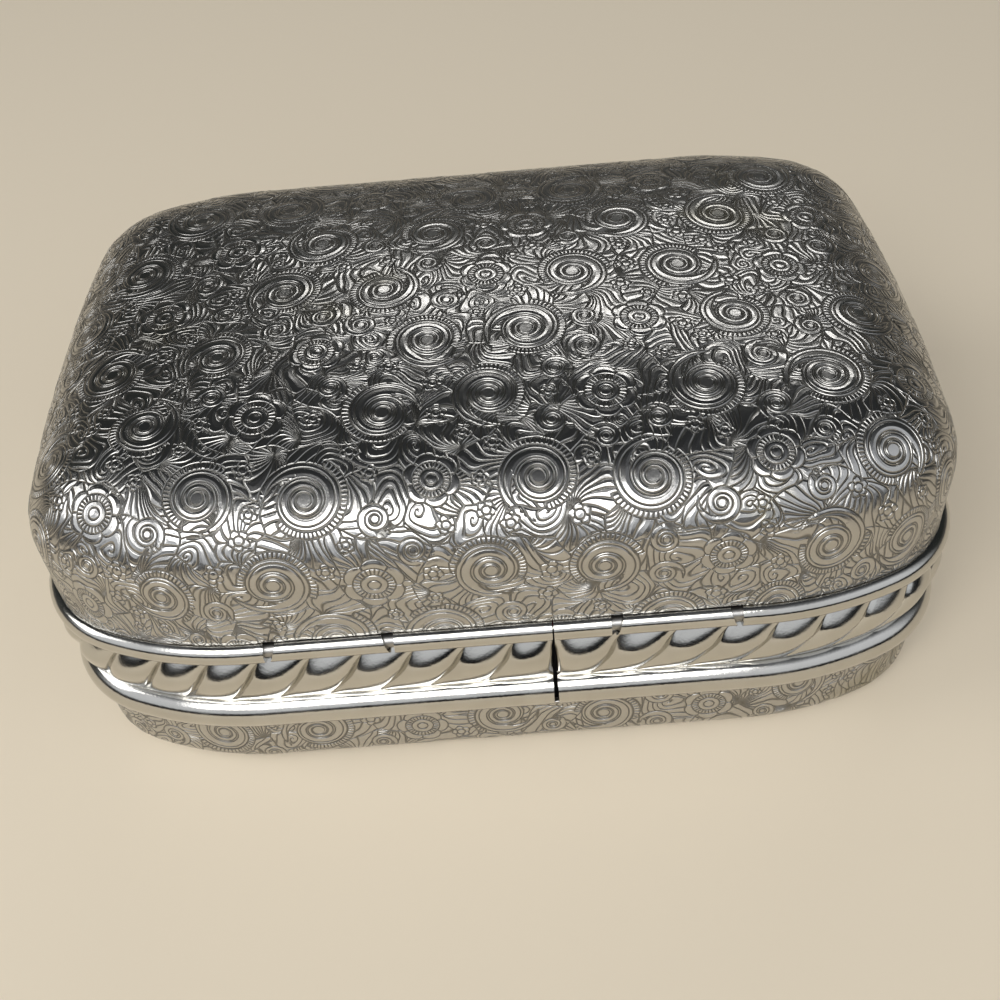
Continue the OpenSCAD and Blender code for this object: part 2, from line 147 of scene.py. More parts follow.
windows = room_side((0.0, "19191a"), (0.17, "1d1e20"), (0.27, "d3d7dd"), (0.72, "dde1e8"), (0.86, "73767b"),
                    (1.0, "34363a"))
far_wall = room_side((0.0, "726e68"), (0.14, "4c4b49"), (0.36, "2b2e2c"), (1.0, "26282b"))
sideways = add_node(tree, "SeparateXYZ", {0: direction}).outputs["Y"]
near_side = add_node(tree, "MapRange", {"Value": sideways, "From Min": -0.1, "From Max": 0.3})
room = add_node(tree, "Mix", {"Factor": near_side, 6: far_wall, 7: windows}, data_type="RGBA").outputs[2]
add_node(tree, "OutputWorld", {"Surface": add_node(tree, "Background", {"Color": room, "Strength": 1.15})})
bpy.context.scene.world = world

# Embossed shells: two dishes drawn from thin brass sheet that was rolled with scrollwork
# while flat and then silver plated. Each is one closed skin; its outline is the plan of the
# box, which is the outermost line of its band, and an inset is a distance inwards from it.
box_len = 84
box_dep = 57
corner_r = 11.2
straight_half = 22
long_turn = math.radians(24)
short_turn = math.radians(4.5)
sheet_t = 0.5
# Clearance between pieces that touch in the real box
skin_gap = 0.05
base_top_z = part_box("base_shell")[1].z / MM
base_wall_inset = 1.15
base_round = 2.4
base_round_h = 2.2
lid_foot_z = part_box("lid_shell")[0].z / MM
lid_wall_inset = 0.9
lid_wall_h = 6.5
shoulder_reach = 11.2
shoulder_h = 8.1
shoulder_end = math.radians(80)
crown_h = 1.75

side_a = box_len / 2 - corner_r - straight_half
side_b = box_dep / 2 - corner_r
side_det = (math.sin(long_turn) * math.sin(short_turn)
            - (1 - math.cos(short_turn)) * (1 - math.cos(long_turn)))
long_r = corner_r + (side_a * math.sin(short_turn) - side_b * (1 - math.cos(short_turn))) / side_det
short_r = corner_r + (side_b * math.sin(long_turn) - side_a * (1 - math.cos(long_turn))) / side_det
corner_turn = math.pi / 2 - long_turn - short_turn
long_side = [(long_r, long_turn)]
end_side = [(corner_r, corner_turn), (short_r, 2 * short_turn), (corner_r, corner_turn)]
# Each stretch of the plan is a radius and a turn, or 0 and a length where it is straight
stretches = ([(0, straight_half)] + long_side + end_side + long_side
             + [(0, 2 * straight_half)] + long_side + end_side + long_side + [(0, straight_half)])
starts = [(0.0, box_dep / 2, 0.0, 0.0)]
for radius, amount in stretches:
    x, y, heading, run = starts[-1]
    if radius:
        turned = heading + amount
        starts.append((x + radius * (math.sin(turned) - math.sin(heading)),
                       y + radius * (math.cos(turned) - math.cos(heading)), turned, run + radius * amount))
    else:
        starts.append((x + amount * math.cos(heading), y - amount * math.sin(heading),
                       heading, run + amount))
plan_run = starts[-1][3]
start_x, start_y, start_heading, start_run = np.array(starts[:-1]).T
stretch_r = np.array([radius for radius, amount in stretches])


def plan_at(run, inset):
    """Points of the plan at distances run clockwise from the middle of the back."""
    run = np.mod(run, plan_run)
    i = np.searchsorted(start_run, run, side="right") - 1
    along, r, a0 = run - start_run[i], stretch_r[i], start_heading[i]
    a = a0 + np.where(r > 0, along / np.maximum(r, 1), 0)
    x = start_x[i] + np.where(r > 0, r * (np.sin(a) - np.sin(a0)), along * np.cos(a0))
    y = start_y[i] + np.where(r > 0, r * (np.cos(a) - np.cos(a0)), -along * np.sin(a0))
    return x - inset * np.sin(a), y - inset * np.cos(a)


VOLUTE, ROSETTE, FLOWER = 1, 2, 3


def scatter_motifs(half_x, half_y, seed):
    """Where the motifs lie on the flat sheet: x, y, size, turn, hand and kind of each."""
    dice = random.Random(seed)
    found = []
    pitch = 9.3
    for row in range(-8, 9):
        for col in range(-8, 9):
            x = (col + 0.5 * (row % 2)) * pitch + dice.uniform(-1.0, 1.0)
            y = row * pitch * 0.84 + dice.uniform(-0.8, 0.8)
            kind = VOLUTE if (col + 2 * row) % 3 else ROSETTE
            size = dice.uniform(2.9, 3.5) if kind == VOLUTE else dice.uniform(2.3, 2.8)
            if abs(x) < half_x + 4 and abs(y) < half_y + 4:
                found.append((x, y, size, dice.uniform(0, 2 * math.pi), dice.choice((-1, 1)), kind))
    for kind, low, high, gap, tries in ((VOLUTE, 1.3, 1.9, 0.5, 4000), (FLOWER, 0.75, 1.05, 0.3, 4000)):
        for _ in range(tries):
            x, y, size = dice.uniform(-half_x, half_x), dice.uniform(-half_y, half_y), dice.uniform(low, high)
            if all((x - m[0]) ** 2 + (y - m[1]) ** 2 > (size + m[2] + gap) ** 2 for m in found):
                found.append((x, y, size, dice.uniform(0, 2 * math.pi), dice.choice((-1, 1)), kind))
    return np.array(found)


# A volute's radius shrinks by this much in each turn, and its stem runs on past it
volute_step = 1.72
stem_turn = math.radians(100)
# Volutes above this radius have a comb, a ring of short cuts, half of this wide
large_volute = 2.5
comb_half = 0.32
# The motifs' outlines stand up from the ground, which is pressed in by this much
ground_depth = 0.05
plateau_rise = 0.02
band_rise = 0.03


def motif_fields(flat, motifs, owner):
    """For points of the sheet: place in the motif that owns each, and how far inside it and its comb."""
    cx, cy, size, turn, hand, kind = motifs[owner].T
    dx, dy = flat[:, 0] - cx, flat[:, 1] - cy
    x = dx * np.cos(turn) + dy * np.sin(turn)
    y = hand * (dy * np.cos(turn) - dx * np.sin(turn))
    rho, angle = np.hypot(x, y), np.arctan2(y, x)
    wound = np.mod(angle, 2 * math.pi)
    shell = size * volute_step ** (-wound / (2 * math.pi))
    back = 2 * math.pi - wound
    outer = size * volute_step ** (back / (2 * math.pi))
    inner = outer * (1 / volute_step + (1 - 1 / volute_step) * back / stem_turn)
    stem = np.minimum(outer - rho, np.maximum(rho - inner, shell - rho))
    edge = np.select([kind == VOLUTE, kind == ROSETTE],
                     [np.where(back < stem_turn, stem, shell - rho),
                      size * (0.78 + 0.22 * np.abs(np.cos(3 * angle)) ** 0.6) - rho],
                     size * (0.64 + 0.36 * np.abs(np.cos(2.5 * angle))) - rho)
    comb = np.minimum(comb_half - np.abs(rho - shell - comb_half - 0.06), rho * (1.8 - np.abs(wound - 2.5)))
    comb = np.where((kind == VOLUTE) & (size > large_volute), comb, -1)
    winding = np.log(np.maximum(rho, 0.05) / size) / math.log(volute_step) + angle / (2 * math.pi)
    band = np.abs(winding - np.rint(winding)) * rho * math.log(volute_step)
    band = np.where(kind == VOLUTE, band, 0.3)
    return x, y, size, kind, edge, comb, band, np.hypot(dx, dy) - size


def pressed_shell(name, outer, inner, rise, columns=800, cap_across=258, row_h=0.35, seed=11):
    """One closed dish. outer and inner run from its open edge to its level field; rise is the field's crown."""
    outer = np.array(outer)
    steps = np.hypot(*np.diff(outer, axis=0).T)
    reach = np.r_[0, np.cumsum(steps)]
    rows = round(reach[-1] / row_h)
    field_inset, field_z = outer[-1]
    cap_deep = columns // 2 - cap_across
    bm = bmesh.new()
    flat_layer = bm.verts.layers.float_vector.new("flat")
    run_layer = bm.verts.layers.float.new("run")

    def lay(verts, run, inset, z, share, flat_inset, outside):
        x, y = plan_at(run, inset)
        fx, fy = plan_at(run, flat_inset)
        for v, *at in zip(verts, share * x * MM, share * y * MM, z * MM, run, share * fx, share * fy):
            v.co = at[:3]
            v[run_layer] = at[3]
            v[flat_layer] = (at[4], at[5], outside)

    bmesh.ops.create_grid(bm, x_segments=columns, y_segments=rows, size=1)
    skirt = list(bm.verts)
    grid = np.array([v.co[:2] for v in skirt]) / 2 + 0.5
    along = grid[:, 1] * reach[-1]
    inset = np.interp(along, reach, outer[:, 0])
    lay(skirt, grid[:, 0] * plan_run, inset, np.interp(along, reach, outer[:, 1]),
        np.ones(len(skirt)), field_inset - reach[-1] + along, 1)
    cap = bmesh.ops.create_grid(bm, x_segments=cap_across, y_segments=cap_deep, size=1)["verts"]
    a, b = np.array([v.co[:2] for v in cap]).T
    share = np.maximum(np.abs(a), np.abs(b))
    a, b = a / np.maximum(share, 1e-9), b / np.maximum(share, 1e-9)
    cells = np.select(
        [b > 0.999999, a > 0.999999, b < -0.999999],
        [(a + 1) / 2 * cap_across, cap_across + (1 - b) / 2 * cap_deep,
         cap_across + cap_deep + (1 - a) / 2 * cap_across],
        2 * cap_across + cap_deep + (b + 1) / 2 * cap_deep)
    run = np.mod((cells - cap_across / 2) / columns * plan_run, plan_run)
    same = np.full(len(cap), field_inset)
    lay(cap, run, same, field_z + rise * (1 - share ** 2), share, same, 1)
    bmesh.ops.remove_doubles(bm, verts=bm.verts, dist=0.002 * MM)

    edges = [e for e in bm.edges if e.is_boundary]
    inner_field_inset, inner_field_z = inner[-1]
    rings = [(i, z, 1) for i, z in inner]
    rings += [(inner_field_inset, inner_field_z + rise * (1 - s * s), s) for s in (0.66, 0.33)]
    for ring_inset, ring_z, ring_share in rings:
        made = bmesh.ops.extrude_edge_only(bm, edges=edges)["geom"]
        edges = [g for g in made if isinstance(g, bmesh.types.BMEdge) and g.is_boundary]
        verts = [g for g in made if isinstance(g, bmesh.types.BMVert)]
        n = len(verts)
        runs = np.array([v[run_layer] for v in verts])
        lay(verts, runs, np.full(n, ring_inset), np.full(n, ring_z), np.full(n, ring_share),
            np.full(n, ring_inset), 0)
    made = bmesh.ops.extrude_edge_only(bm, edges=edges)["geom"]
    verts = [g for g in made if isinstance(g, bmesh.types.BMVert)]
    bmesh.ops.pointmerge(bm, verts=verts, merge_co=(0, 0, (inner_field_z + rise) * MM))
    bmesh.ops.recalc_face_normals(bm, faces=bm.faces)
    mesh = bpy.data.meshes.new(name)
    bm.to_mesh(mesh)
    bm.free()

    count = len(mesh.vertices)
    flat = np.zeros(count * 3, np.float32)
    mesh.attributes["flat"].data.foreach_get("vector", flat)
    flat = flat.reshape(-1, 3).astype(float)
    motifs = scatter_motifs(*np.abs(flat[:, :2]).max(axis=0), seed)
    first, nearest, second = np.zeros(count, int), np.zeros(count), np.zeros(count)
    for at in range(0, count, 10000):
        part = slice(at, at + 10000)
        away = np.hypot(flat[part, 0, None] - motifs[:, 0], flat[part, 1, None] - motifs[:, 1]) - motifs[:, 2]
        first[part] = away.argmin(axis=1)
        nearest[part], second[part] = np.partition(away, 1, axis=1)[:, :2].T
    edge, comb, band = motif_fields(flat, motifs, first)[4:7]
    edge = np.minimum(np.maximum(edge, comb), (second - nearest) / 2 - 0.1)
    plateau = np.clip((edge + 0.1) / 0.25, 0, 1)
    relief = plateau * (plateau_rise + band_rise * np.clip(band / 0.4, 0, 1))
    depth = np.where(flat[:, 2] > 0.5, ground_depth - relief, 0)
    co = np.zeros(count * 3, np.float32)
    normal = np.zeros(count * 3, np.float32)
    mesh.vertices.foreach_get("co", co)
    mesh.vertices.foreach_get("normal", normal)
    co = co.reshape(-1, 3) - normal.reshape(-1, 3) * depth[:, None] * MM
    mesh.vertices.foreach_set("co", co.astype(np.float32).ravel())
    # Each face belongs to one motif, so that its corners hold places that agree
    corner_at = np.zeros(len(mesh.loops), np.int32)
    mesh.loops.foreach_get("vertex_index", corner_at)
    face_start, face_size = np.zeros(len(mesh.polygons), np.int32), np.zeros(len(mesh.polygons), np.int32)
    mesh.polygons.foreach_get("loop_start", face_start)
    mesh.polygons.foreach_get("loop_total", face_size)
    owner = np.repeat(first[corner_at[face_start]], face_size)
    x, y, size, kind, edge, comb, band, own = motif_fields(flat[corner_at], motifs, owner)
    other = np.where(owner == first[corner_at], second[corner_at], nearest[corner_at])
    limit = (other - own) / 2 - 0.1
    for attribute, values in (("motif_place", (x, y, size)),
                              ("motif_kind", (kind, np.minimum(edge, limit), np.minimum(comb, limit)))):
        made = mesh.attributes.new(attribute, "FLOAT_VECTOR", "CORNER")
        made.data.foreach_set("vector", np.c_[values].astype(np.float32).ravel())
    mesh.attributes["flat"].name = "sheet"
    mesh.attributes.remove(mesh.attributes["run"])
    mesh.shade_smooth()
    piece = bpy.data.objects.new(name, mesh)
    bpy.context.scene.collection.objects.link(piece)
    return piece


def lid_curve(t, count):
    """The lid's wall and shoulder, t inside its outer face."""
    angles = [shoulder_end * k / count for k in range(count + 1)]
    return [(lid_wall_inset + t, lid_foot_z)] + [
        (lid_wall_inset + shoulder_reach - (shoulder_reach - t) * math.cos(a),
         lid_foot_z + lid_wall_h + (shoulder_h - t) * math.sin(a)) for a in angles]


def base_curve(t, count):
    """The base's wall and the rounding at its foot, t inside its outer face."""
    angles = [math.pi / 2 * k / count for k in range(count + 1)]
    return [(base_wall_inset + t, base_top_z)] + [
        (base_wall_inset + base_round - (base_round - t) * math.cos(a),
         base_round_h - (base_round_h - t) * math.sin(a)) for a in angles]


lid_plate = pressed_shell("embossed_lid", lid_curve(0, 40), lid_curve(sheet_t, 4), crown_h)
base_plate = pressed_shell("embossed_base", base_curve(0, 30), base_curve(sheet_t, 3), 0)

# Embossed silver plate: rolled relief whose high places are rubbed bright and whose sunk
# lines hold grey tarnish. The lines of each motif are worked out from its own centre.
emboss_depth = 0.075
line_width = 0.12
comb_pitch = 0.40
embossed_plate, tree = new_material("embossed_silver_plate")


def line_distance(lines, pitch):
    """Distance to the nearest whole number in lines, in mm."""
    nearest = add_node(tree, "Math", {0: lines}, operation="ROUND")
    away = add_node(tree, "Math", {0: lines, 1: nearest}, operation="SUBTRACT")
    away = add_node(tree, "Math", {0: away}, operation="ABSOLUTE")
    return add_node(tree, "Math", {0: away, 1: pitch}, operation="MULTIPLY")


def rings_at(measure, scale, *places):
    """Distance to the nearest of a few places along a measure, in mm."""
    found = None
    for at in places:
        away = add_node(tree, "Math", {0: measure, 1: at}, operation="SUBTRACT")
        away = add_node(tree, "Math", {0: away}, operation="ABSOLUTE")
        found = add_node(tree, "Math", {0: found, 1: away}, operation="MINIMUM") if found else away
    return add_node(tree, "Math", {0: found, 1: scale}, operation="MULTIPLY")


def polar(x, y):
    """Length and angle of a place."""
    length = add_node(tree, "VectorMath", {0: add_node(tree, "CombineXYZ", {0: x, 1: y})}, operation="LENGTH")
    return length.outputs["Value"], add_node(tree, "Math", {0: y, 1: x}, operation="ARCTAN2")


place = add_node(tree, "Attribute", attribute_name="motif_place").outputs["Vector"]
kind = add_node(tree, "Attribute", attribute_name="motif_kind").outputs["Vector"]
x, y, size = add_node(tree, "SeparateXYZ", {0: place}).outputs
code, edge, comb = add_node(tree, "SeparateXYZ", {0: kind}).outputs
rho, angle = polar(x, y)
turn = add_node(tree, "Math", {0: angle, 1: 2 * math.pi}, operation="DIVIDE")
ratio = add_node(tree, "Math", {0: rho, 1: size}, operation="DIVIDE")
is_volute = add_node(tree, "Math", {0: code, 1: 1.5}, operation="LESS_THAN")
is_flower = add_node(tree, "Math", {0: code, 1: 2.5}, operation="GREATER_THAN")
# A volute's band winds in to its eye, with a thin line inside its outer edge
winding = add_node(tree, "Math", {0: ratio, 1: volute_step}, operation="LOGARITHM")
winding = add_node(tree, "Math", {0: winding, 1: turn}, operation="ADD")
winding_pitch = add_node(tree, "Math", {0: rho, 1: math.log(volute_step)}, operation="MULTIPLY")
part_turn = add_node(tree, "Math", {0: winding}, operation="FRACT")
band = rings_at(part_turn, winding_pitch, 0.0, 0.72, 1.0)
thin_band = line_distance(winding, winding_pitch)
is_large = add_node(tree, "Math", {0: size, 1: large_volute}, operation="GREATER_THAN")
band = add_node(tree, "Mix", {"Factor": is_large, 2: thin_band, 3: band})
in_eye = add_node(tree, "Math", {0: ratio, 1: 0.16}, operation="LESS_THAN")
band = add_node(tree, "Math", {0: in_eye, 1: 9.0, 2: band}, operation="MULTIPLY_ADD")
# A rosette has a ringed eye, a ring of short cuts and six petals; a small flower has five
past_roots = add_node(tree, "Math", {0: ratio, 1: 0.66}, operation="GREATER_THAN")
cuts = add_node(tree, "Mix", {"Factor": past_roots, 2: 26.0, 3: 6.0})
cuts = add_node(tree, "Mix", {"Factor": is_flower, 2: cuts, 3: 5.0})
radial = add_node(tree, "Math", {0: cuts, 1: turn, 2: 0.5}, operation="MULTIPLY_ADD")
radial_pitch = add_node(tree, "Math", {0: rho, 1: 2 * math.pi}, operation="MULTIPLY")
radial_pitch = add_node(tree, "Math", {0: radial_pitch, 1: cuts}, operation="DIVIDE")
petals = line_distance(radial, radial_pitch)
in_boss = add_node(tree, "Math", {0: ratio, 1: 0.42}, operation="LESS_THAN")
petals = add_node(tree, "Math", {0: in_boss, 1: 9.0, 2: petals}, operation="MULTIPLY_ADD")
rings = add_node(tree, "Mix", {"Factor": is_flower, 2: rings_at(ratio, size, 0.2, 0.42, 0.66),
                               3: rings_at(ratio, size, 0.42)})
petals = add_node(tree, "Math", {0: petals, 1: rings}, operation="MINIMUM")
inside = add_node(tree, "Mix", {"Factor": is_volute, 2: petals, 3: band})
# The comb round a large volute is short cuts that point at its middle
comb_cuts = add_node(tree, "Math", {0: size, 1: 2 * math.pi / comb_pitch}, operation="MULTIPLY")
comb_cuts = add_node(tree, "Math", {0: comb_cuts}, operation="ROUND")
comb_lines = add_node(tree, "Math", {0: comb_cuts, 1: turn}, operation="MULTIPLY")
teeth = line_distance(comb_lines, comb_pitch)
# Leaves fill the rest: curved blades from one root, or a curl, in cells of the flat sheet
leaf_cell = 3.2
sheet = add_node(tree, "Attribute", attribute_name="sheet").outputs["Vector"]
sway = add_node(tree, "TexNoise", {"Vector": sheet, "Scale": 1 / 3.2, "Detail": 0.0})
sway = add_node(tree, "VectorMath", {0: sway.outputs["Color"], 1: (0.5, 0.5, 0.5)}, operation="SUBTRACT")
sway = add_node(tree, "VectorMath", {0: sway, "Scale": 2.6}, operation="SCALE")
swayed = add_node(tree, "VectorMath", {0: sheet, 1: sway}, operation="ADD")
cell_edge = add_node(tree, "TexVoronoi", {"Vector": swayed, "Scale": 1 / leaf_cell},
                     voronoi_dimensions="2D", feature="DISTANCE_TO_EDGE").outputs["Distance"]
cell_edge = add_node(tree, "Math", {0: cell_edge, 1: leaf_cell}, operation="MULTIPLY")
cell = add_node(tree, "TexVoronoi", {"Vector": swayed, "Scale": 1 / leaf_cell}, voronoi_dimensions="2D")
chance = add_node(tree, "SeparateXYZ", {0: cell.outputs["Color"]}).outputs
leaf_place = add_node(tree, "VectorMath", {0: swayed, 1: cell.outputs["Position"]}, operation="SUBTRACT")
leaf_turn = add_node(tree, "Math", {0: chance[0], 1: 2 * math.pi}, operation="MULTIPLY")
leaf_place = add_node(tree, "VectorRotate", {"Vector": leaf_place, "Angle": leaf_turn}, rotation_type="Z_AXIS")
leaf_x, leaf_y = add_node(tree, "SeparateXYZ", {0: leaf_place}).outputs[:2]
left_hand = add_node(tree, "Math", {0: chance[1], 1: 0.5}, operation="GREATER_THAN")
hand = add_node(tree, "Math", {0: left_hand, 1: 2.0, 2: -1.0}, operation="MULTIPLY_ADD")
leaf_y = add_node(tree, "Math", {0: leaf_y, 1: hand}, operation="MULTIPLY")
is_curl = add_node(tree, "Math", {0: chance[2], 1: 0.6}, operation="GREATER_THAN")
root = add_node(tree, "Mix", {"Factor": is_curl, 2: 2.1, 3: 0.45})
leaf_x = add_node(tree, "Math", {0: leaf_x, 1: root}, operation="ADD")
leaf_rho, leaf_angle = polar(leaf_x, leaf_y)
blade_spread, blade_bend = 3.6, 0.7
blades = add_node(tree, "Math", {0: leaf_angle, 1: blade_spread}, operation="MULTIPLY")
blades = add_node(tree, "Math", {0: leaf_rho, 1: blade_bend, 2: blades}, operation="MULTIPLY_ADD")
blade_pitch = add_node(tree, "Math", {0: blade_spread, 1: leaf_rho}, operation="DIVIDE")
blade_pitch = add_node(tree, "Math", {0: blade_pitch, 1: blade_pitch, 2: blade_bend ** 2}, operation="MULTIPLY_ADD")
blade_pitch = add_node(tree, "Math", {0: blade_pitch, 1: -0.5}, operation="POWER")
curl_pitch = 0.6
curls = add_node(tree, "Math", {0: leaf_angle, 1: 2 * math.pi}, operation="DIVIDE")
curls = add_node(tree, "Math", {0: leaf_rho, 1: 1 / curl_pitch, 2: curls}, operation="MULTIPLY_ADD")
leaf = add_node(tree, "Mix", {"Factor": is_curl, 2: line_distance(blades, blade_pitch),
                              3: line_distance(curls, curl_pitch)})
leaf = add_node(tree, "Math", {0: leaf, 1: cell_edge}, operation="MINIMUM")
# The nearest line of all: a motif covers the leaves, and its outline is a line too
in_comb = add_node(tree, "Math", {0: comb, 1: 0.0}, operation="GREATER_THAN")
in_motif = add_node(tree, "Math", {0: edge, 1: 0.0}, operation="GREATER_THAN")
away = add_node(tree, "Mix", {"Factor": in_comb, 2: leaf, 3: teeth})
away = add_node(tree, "Mix", {"Factor": in_motif, 2: away, 3: inside})
away = add_node(tree, "Math", {0: away, 1: rings_at(edge, 1.0, 0.0)}, operation="MINIMUM")
away = add_node(tree, "Math", {0: away, 1: rings_at(comb, 1.0, 0.0)}, operation="MINIMUM")
level = add_node(tree, "MapRange", {"Value": away, "From Min": 0.0, "From Max": line_width},
                 interpolation_type="SMOOTHSTEP")
pillow = add_node(tree, "MapRange", {"Value": away, "From Min": 0.0, "From Max": 0.6},
                  interpolation_type="SMOOTHERSTEP")
relief = add_node(tree, "Math", {0: pillow, 1: 0.5, 2: level}, operation="MULTIPLY_ADD")
coordinates = add_node(tree, "TexCoord").outputs["Object"]
# Hammer texture and handling marks, 0.3 mm across
marks = add_node(tree, "TexNoise", {"Vector": coordinates, "Scale": 1 / (0.3 * MM), "Detail": 3.0})
surface = add_node(tree, "Math", {0: marks, 1: 0.10, 2: relief}, operation="MULTIPLY_ADD")
bump = add_node(tree, "Bump", {"Height": surface, "Distance": emboss_depth * MM, "Strength": 1.0})
# Tarnish keeps to the sunk lines, with a few larger greenish stains
stains = add_node(tree, "TexNoise", {"Vector": coordinates, "Scale": 1 / (14 * MM), "Detail": 4.0})
stained = add_node(tree, "MapRange", {"Value": stains, "From Min": 0.62, "From Max": 0.76})
silver = add_node(tree, "Mix", {"Factor": level, 6: linear("7b7974"), 7: linear("bab8b4")}, data_type="RGBA")
worn = add_node(tree, "Math", {0: stained, 1: 0.55}, operation="MULTIPLY")
colour = add_node(tree, "Mix", {"Factor": worn, 6: silver.outputs[2], 7: linear("8d8560")}, data_type="RGBA")
dull = add_node(tree, "MapRange", {"Value": level, "To Min": 0.36, "To Max": 0.22})
# The inner skin is painted dark grey: painted shade for where it shows in the gaps round the pads
outside = add_node(tree, "SeparateXYZ", {0: sheet}).outputs["Z"]
colour = add_node(tree, "Mix", {"Factor": outside, 6: linear("3d3a36"), 7: colour.outputs[2]}, data_type="RGBA")
metal = add_node(tree, "BsdfPrincipled", {"Base Color": colour.outputs[2], "Metallic": 1.0,
                                          "Roughness": dull, "Normal": bump})
add_node(tree, "OutputMaterial", {"Surface": metal})
for piece, body, node in ((lid_plate, "lid", "lid_shell"), (base_plate, "base", "base_shell")):
    piece.data.materials.append(embossed_plate)
    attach(piece, body)
    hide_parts(node)

# Polished silver plate: bright drawn strip with fine rubbing scratches and faint clouding.
polished_plate, tree = new_material("polished_silver_plate")
coordinates = add_node(tree, "TexCoord").outputs["Object"]
clouds = add_node(tree, "TexNoise", {"Vector": coordinates, "Scale": 1 / (3 * MM), "Detail": 5.0})
grain = add_node(tree, "TexNoise", {"Vector": coordinates, "Scale": 1 / (0.25 * MM), "Detail": 2.0})
dull = add_node(tree, "MapRange", {"Value": clouds, "From Min": 0.3, "From Max": 0.7,
                                   "To Min": 0.09, "To Max": 0.19})
tint = add_node(tree, "Mix", {"Factor": clouds, 6: linear("bcb9b1"), 7: linear("cfcdc8")}, data_type="RGBA")
bump = add_node(tree, "Bump", {"Height": grain, "Distance": 0.006 * MM, "Strength": 1.0})
metal = add_node(tree, "BsdfPrincipled", {"Base Color": tint.outputs[2], "Metallic": 1.0,
                                          "Roughness": dull, "Normal": bump})
add_node(tree, "OutputMaterial", {"Surface": metal})

# Base rim: the strip inside the rope with the lower bead rolled into it, butted at the back.
low_bead_r = 1.8
top_bead_r = 1.13
strip_t = 0.4
wall_in = low_bead_r + strip_t + 2 * skin_gap
base_foot_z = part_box("base_rim")[0].z / MM
base_rim_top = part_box("base_rim")[1].z / MM
low_bead_z = base_top_z + skin_gap + low_bead_r
seam_off = 4.3
seam_gap = 0.5
seam_head = 0.12


def seam_half(z):
    """Half the width of the butt joint, which opens towards its foot."""
    return (seam_gap + (seam_head - seam_gap) * (z - base_top_z) / (lid_foot_z - base_top_z)) / 2


def arc_points(inset, z, r, first, last, steps):
    """Points of [outwards, up] along an arc, with angles in degrees from the inward side over the top."""
    angles = [math.radians(first + (last - first) * k / steps) for k in range(steps + 1)]
    return [(-inset - r * math.cos(a), z + r * math.sin(a)) for a in angles]


def swept(name, profile, columns, run_at, outline=None):
    """Sweeps a closed profile along the plan. run_at(u, z) gives the distances; its ends are capped if open."""
    profile = np.array(profile)
    rows = len(profile)
    bm = bmesh.new()
    bmesh.ops.create_grid(bm, x_segments=columns, y_segments=rows, size=1)
    verts = list(bm.verts)
    u, v = (np.array([vert.co[:2] for vert in verts]) / 2 + 0.5).T
    row = np.rint(v * rows).astype(int) % rows
    out, z = profile[row].T
    run = run_at(u, z, row) if outline else run_at(u, z)
    inset = outline(u, row) if outline else -out
    px, py = plan_at(run, inset)
    for vert, *at in zip(verts, px * MM, py * MM, z * MM):
        vert.co = at
    bmesh.ops.remove_doubles(bm, verts=bm.verts, dist=0.001 * MM)
    open_edges = [e for e in bm.edges if e.is_boundary]
    if open_edges:
        bmesh.ops.holes_fill(bm, edges=open_edges, sides=0)
    bmesh.ops.recalc_face_normals(bm, faces=bm.faces)
    for e in bm.edges:
        e.smooth = e.calc_face_angle(0) < math.radians(38)
    mesh = bpy.data.meshes.new(name)
    bm.to_mesh(mesh)
    bm.free()
    for face in mesh.polygons:
        face.use_smooth = True
    piece = bpy.data.objects.new(name, mesh)
    bpy.context.scene.collection.objects.link(piece)
    return piece


def strip_run(u, z):
    """Distances along a strip that is open at the butt joint."""
    half = seam_half(z)
    return half - seam_off + (plan_run - 2 * half) * u


base_rim = swept("rolled_base_rim", [(-wall_in, base_foot_z), (-low_bead_r, base_foot_z)]
                 + arc_points(low_bead_r, low_bead_z, low_bead_r, 270, 90, 28)
                 + [(-low_bead_r, base_rim_top), (-wall_in, base_rim_top)], 420, strip_run)
base_rim.data.materials.append(polished_plate)
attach(base_rim, "base")
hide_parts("base_rim")

# Rope moulding: a half round strip pressed into slanting strands. Each strand swells from
# the groove on its left and drops sharply into the groove on its right.
rope_z0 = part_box("rope_moulding")[0].z / MM
rope_z1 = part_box("rope_moulding")[1].z / MM
rope_h = rope_z1 - rope_z0
rope_bulge = 1.3
rope_back = low_bead_r - 3 * skin_gap
strand_count = 56
strand_columns = 20
groove_share = 0.75
strand_lean = 5.2
square_run = 6
# Place of the fullest line of a strand between its two grooves
crest = 0.56
rope_rows = 28
# Height of the fullest line of the rope, between -1 at its foot and 1 at its top
brow = 0.3
up_angles = np.r_[np.linspace(-90, 90, rope_rows + 1), 90, 0, -90]


def rope_run_at(u, z, row):
    """Distances along the rope, leaning with height except at its cut ends."""
    half = seam_half(z)
    length = plan_run - 2 * half
    upright = np.minimum(1, np.minimum(length * u, length * (1 - u)) / square_run)
    return half - seam_off + length * u - strand_lean * upright * up_angles[row] / 180


def rope_inset(u, row):
    """Inset of the rope's face: a slanting round, cut by the grooves between strands."""
    f = np.mod(u * strand_count, 1)
    away = np.where(f < crest, (crest - f) / crest, (f - crest) / (1 - crest))
    strand = 1 - groove_share * (1 - np.sqrt(np.maximum(1 - away ** 2, 0)))
    up = np.sin(np.radians(up_angles[row]))
    above = up > brow
    fall = np.where(above, np.abs((up - brow) / (1 - brow)) ** 1.3, ((brow - up) / (1 + brow)) ** 2)
    face = rope_bulge * (1 - (1 - fall) * strand)
    return np.where(row > rope_rows, rope_back, face)


rope = swept("pressed_rope", [(0, rope_z0 + rope_h / 2 * (1 + math.sin(math.radians(a)))) for a in up_angles],
             strand_count * strand_columns, rope_run_at, rope_inset)
rope.data.materials.append(polished_plate)
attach(rope, "base")
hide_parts("rope_moulding")

